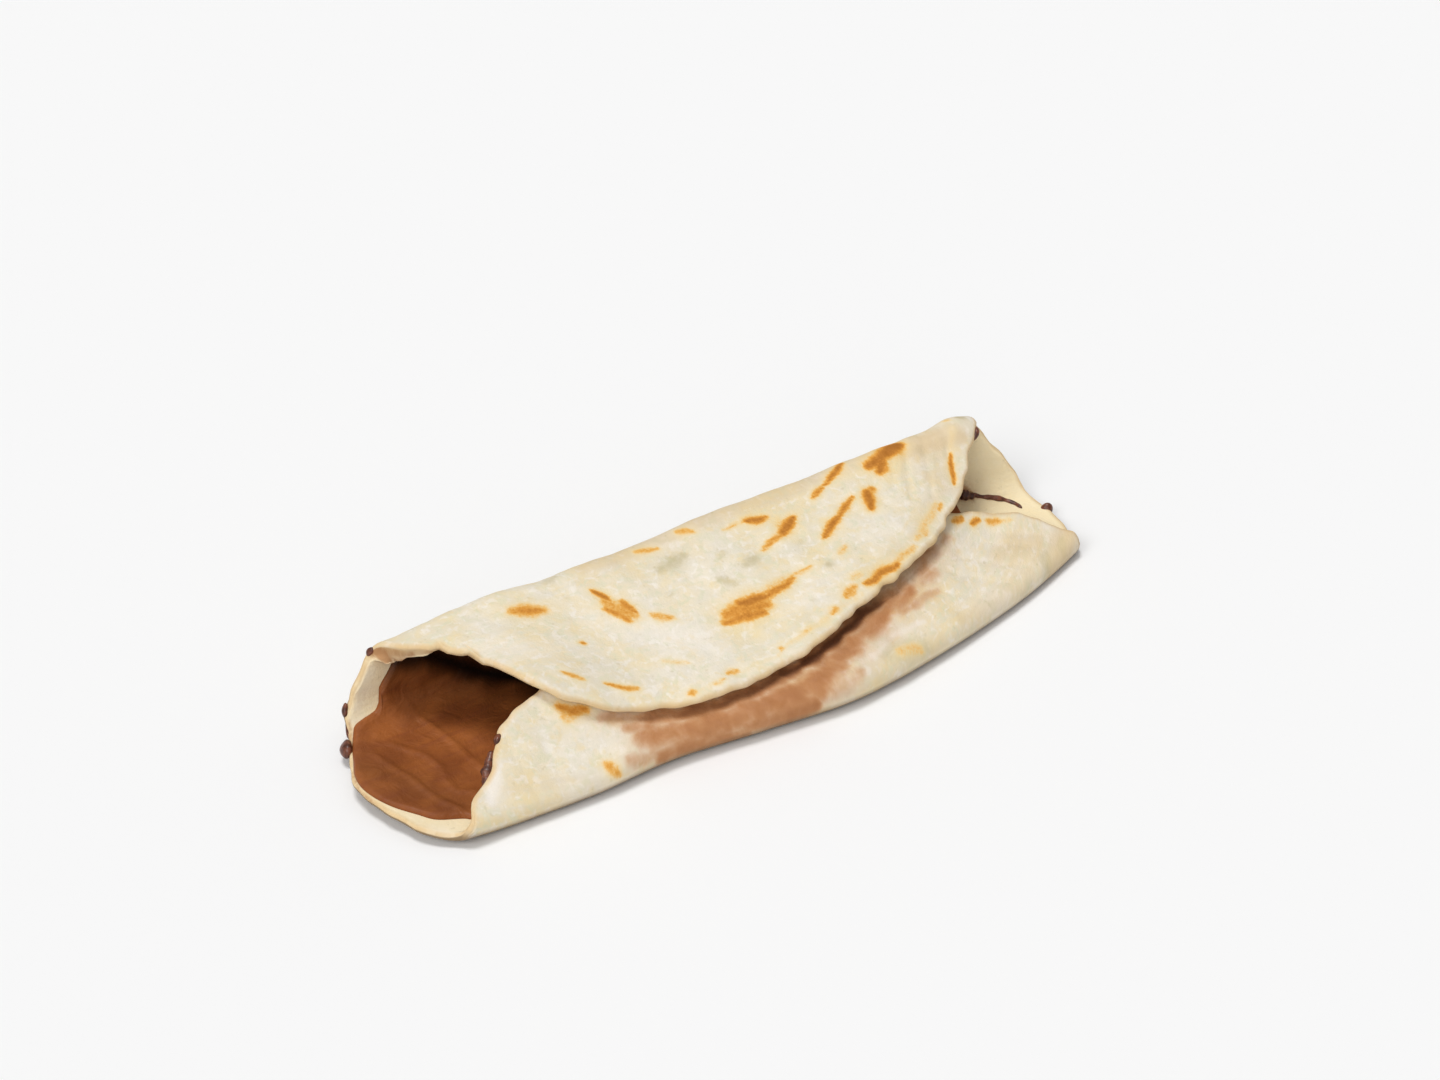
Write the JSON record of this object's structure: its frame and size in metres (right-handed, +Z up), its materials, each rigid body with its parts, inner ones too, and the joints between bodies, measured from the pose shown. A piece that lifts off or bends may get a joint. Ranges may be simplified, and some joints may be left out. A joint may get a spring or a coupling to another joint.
{
  "type": "chocolate chapati roll",
  "caption": "Round flatbread spread with chocolate and folded into a long, hollow roll that is open at both ends.",
  "frame": {"origin": "middle of the roll's footprint on the table", "axes": "+X along the roll from its wide open mouth to its far end, +Y from the front fold to the back wall, +Z up"},
  "size_m": [0.2294, 0.0676, 0.0298],
  "materials": {
    "bread": "matt pale dough with orange-brown griddle spots",
    "chocolate": "soft glossy milk chocolate spread"
  },
  "bodies": {
    "root": {"chapati": "bread", "chocolate": "chocolate"}
  },
  "joints": []
}
